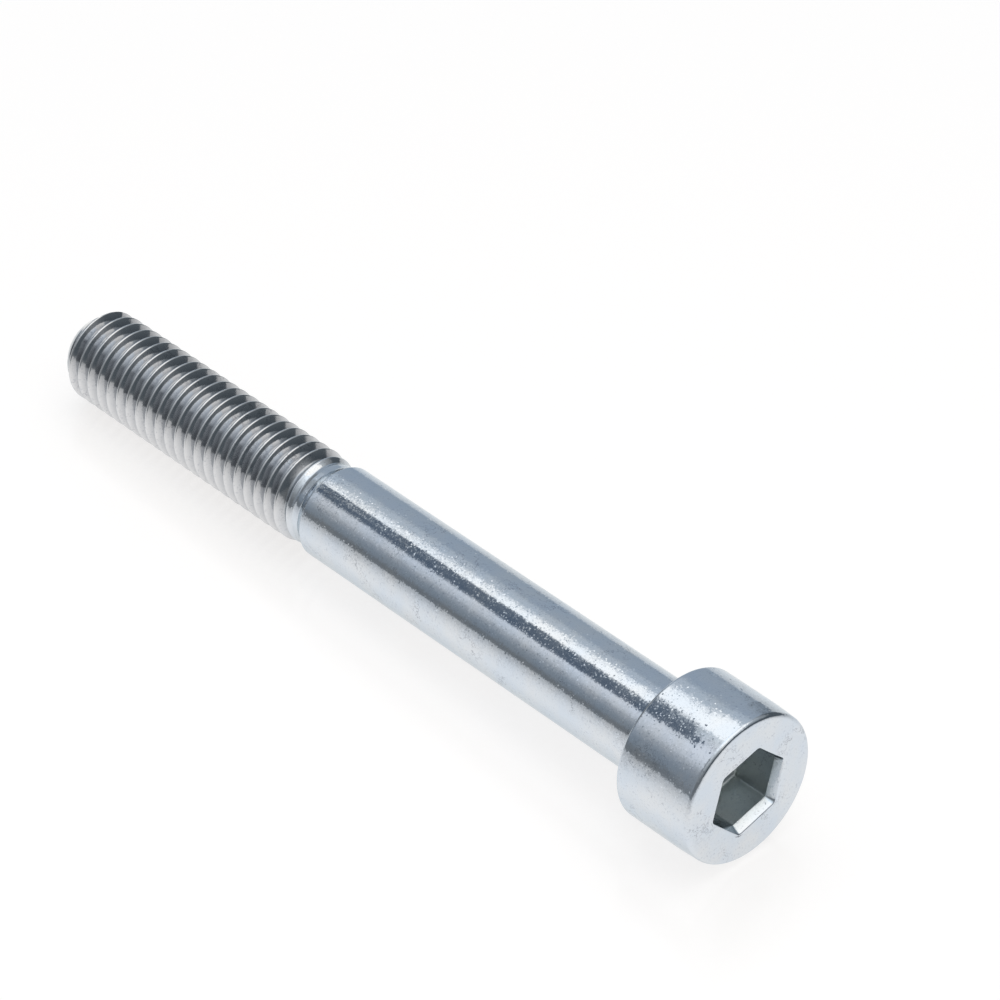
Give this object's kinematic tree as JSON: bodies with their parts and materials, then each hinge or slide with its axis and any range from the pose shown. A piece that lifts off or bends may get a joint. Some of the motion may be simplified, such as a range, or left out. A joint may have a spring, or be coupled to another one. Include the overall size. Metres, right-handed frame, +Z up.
{
  "type": "socket head cap screw",
  "caption": "Socket head cap screw with a cylindrical head, hexagon socket, plain shank and rolled right-hand metric thread, lying on its side.",
  "frame": {"origin": "middle of the footprint of the screw as it lies at rest, on the surface that it lies on", "axes": "+X along the screw towards its head, level; +Z up; the screw's own axis leans 2.1 degrees up towards the head, because the lower edge of the head and the last full crest of the thread both touch the surface"},
  "size_m": [0.0778, 0.0128, 0.0131],
  "materials": {
    "zinc_steel": "bright blue-white zinc plating"
  },
  "bodies": {
    "root": {"screw": "zinc_steel"}
  },
  "joints": []
}
